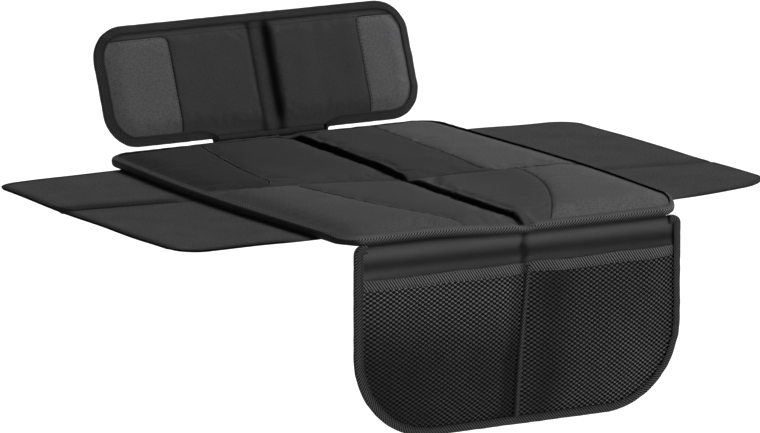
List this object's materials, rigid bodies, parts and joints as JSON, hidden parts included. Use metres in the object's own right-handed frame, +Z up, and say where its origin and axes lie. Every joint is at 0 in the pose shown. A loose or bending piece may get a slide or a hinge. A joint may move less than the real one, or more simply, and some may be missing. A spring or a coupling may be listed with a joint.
{
  "type": "car seat protector mat",
  "caption": "Quilted car seat protector mat with an upright back pad, side wings under the seat pad and a front flap with net pockets.",
  "frame": {"origin": "centre of the wing sheet's flat underside, the face that lies on the car seat", "axes": "+X to the right along the wings, seen from the front flap; +Y from the front flap to the back pad; +Z up out of the seat"},
  "size_m": [0.8, 0.6331, 0.3783],
  "materials": {
    "main_cloth": "matt charcoal woven polyester",
    "accent_cloth": "matt mid grey woven polyester",
    "wing_fabric": "matt coated polyester sheet",
    "flap_fabric": "ribbed twill weave",
    "lining": "matt black underside cloth",
    "foam": "open-cell foam padding",
    "twill_tape": "black twill binding tape",
    "net": "knitted polyester net"
  },
  "bodies": {
    "root": {"back_accent_left": "accent_cloth", "back_accent_right": "accent_cloth", "back_binding": "twill_tape", "back_foam_left": "foam", "back_foam_right": "foam", "back_lining": "lining", "back_main_panel": "main_cloth", "back_neck": "main_cloth", "pocket_binding": "twill_tape", "pocket_hem_tape": "twill_tape", "pocket_mesh": "net", "pocket_panel": "flap_fabric", "seat_accent_front_left": "accent_cloth", "seat_accent_front_right": "accent_cloth", "seat_accent_rear_left": "accent_cloth", "seat_accent_rear_right": "accent_cloth", "seat_binding": "twill_tape", "seat_foam_front_left": "foam", "seat_foam_front_right": "foam", "seat_foam_rear_left": "foam", "seat_foam_rear_right": "foam", "seat_lining": "lining", "seat_main_panel": "main_cloth", "wing_sheet": "wing_fabric"}
  },
  "joints": []
}
